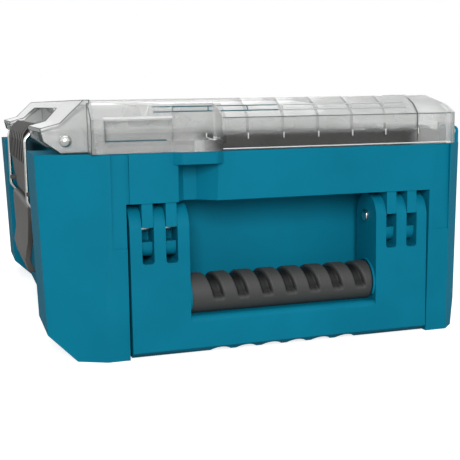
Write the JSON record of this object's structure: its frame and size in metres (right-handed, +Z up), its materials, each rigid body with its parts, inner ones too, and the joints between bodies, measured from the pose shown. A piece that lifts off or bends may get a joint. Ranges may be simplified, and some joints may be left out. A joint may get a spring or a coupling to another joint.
{
  "type": "compartment storage box",
  "caption": "Moulded storage box for small parts with a clear hinged lid, a wide draw latch, folding end handles, lift-out bins and pocket trays.",
  "frame": {"origin": "middle of the underside", "axes": "+X from the latch side to the hinge side, +Y along the box from the end in the picture to the other end, +Z up"},
  "size_m": [0.296, 0.407, 0.166],
  "materials": {
    "teal_plastic": "fine moulded texture",
    "clear_plastic": "clear, slightly frosted",
    "dark_plastic": "satin moulded",
    "steel": "bright drawn wire",
    "rubber": "matt",
    "tray_plastic": "satin moulded"
  },
  "bodies": {
    "case": {"case_body": "teal_plastic", "hinge_pin": "steel", "tray_near": "tray_plastic", "tray_far": "tray_plastic", "handle_pin_near_left": "steel", "handle_pin_near_right": "steel", "handle_pin_far_left": "steel", "handle_pin_far_right": "steel", "bin_1": "tray_plastic", "bin_2": "tray_plastic", "bin_3": "tray_plastic", "bin_4": "tray_plastic", "bin_5": "tray_plastic", "bin_6": "tray_plastic"},
    "lid": {"lid": "clear_plastic", "latch_rod": "steel"},
    "bail": {"latch_bail": "steel", "latch_plate": "dark_plastic"},
    "lever": {"latch_lever": "dark_plastic"},
    "handle_near": {"handle_near": "teal_plastic", "grip_near": "rubber"},
    "handle_far": {"handle_far": "teal_plastic", "grip_far": "rubber"}
  },
  "joints": [
    {"name": "lid_hinge", "type": "hinge", "parent": "case", "child": "lid", "pos_m": [0.1439, 0, 0.1405], "axis": [0, 1, 0], "range_deg": [0, 105]},
    {"name": "bail_swing", "type": "hinge", "parent": "lid", "child": "bail", "pos_m": [-0.129, 0, 0.141], "axis": [0, 1, 0], "range_deg": [0, 35]},
    {"name": "lever_swing", "type": "hinge", "parent": "bail", "child": "lever", "pos_m": [-0.14, 0, 0.086], "axis": [0, 1, 0], "range_deg": [0, 80]},
    {"name": "handle_near_fold", "type": "hinge", "parent": "case", "child": "handle_near", "pos_m": [0, -0.1805, 0.0835], "axis": [-1, 0, 0], "range_deg": [0, 90]},
    {"name": "handle_far_fold", "type": "hinge", "parent": "case", "child": "handle_far", "pos_m": [0, 0.1805, 0.0835], "axis": [1, 0, 0], "range_deg": [0, 90]}
  ]
}
